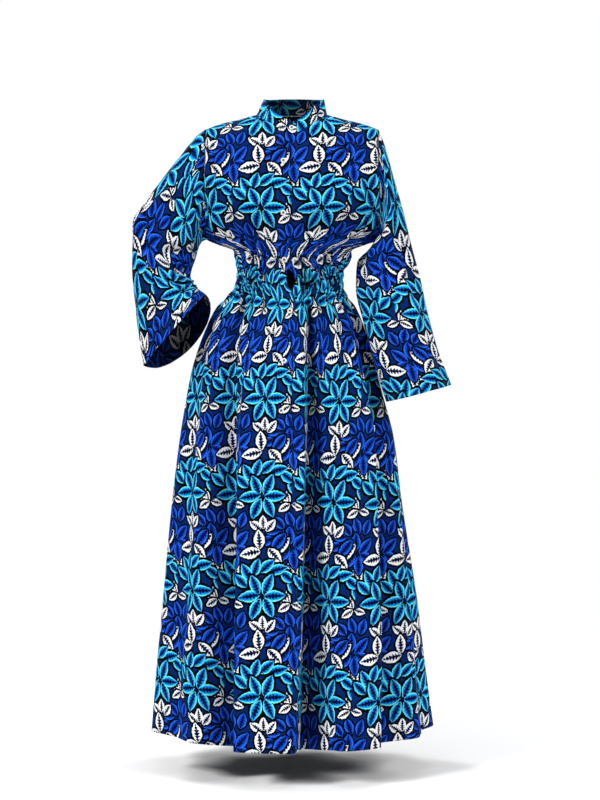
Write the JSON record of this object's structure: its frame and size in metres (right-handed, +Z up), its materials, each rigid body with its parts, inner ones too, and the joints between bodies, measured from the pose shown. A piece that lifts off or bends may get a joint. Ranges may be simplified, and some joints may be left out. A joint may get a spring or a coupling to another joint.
{
  "type": "shirt dress",
  "caption": "Long button-front shirt dress in printed cotton, worn shape, with a stand collar, dropped loose sleeves and a shirred waist.",
  "frame": {"origin": "middle of the base of the neck opening, at shoulder level, where the wearer holds the dress up", "axes": "+Z up, front faces -Y, the wearer's left is +X"},
  "size_m": [0.7417, 0.5489, 1.4786],
  "materials": {
    "printed_cotton": "plain-woven printed cotton, deep blue ground, slight sheen",
    "button": "glossy off-white shirt button"
  },
  "bodies": {
    "root": {"front_right": "printed_cotton", "front_left": "printed_cotton", "back": "printed_cotton", "sleeve_right": "printed_cotton", "sleeve_left": "printed_cotton", "collar": "printed_cotton", "button_collar": "button", "button_1": "button", "button_2": "button", "button_3": "button", "button_4": "button", "button_5": "button", "button_6": "button"}
  },
  "joints": []
}
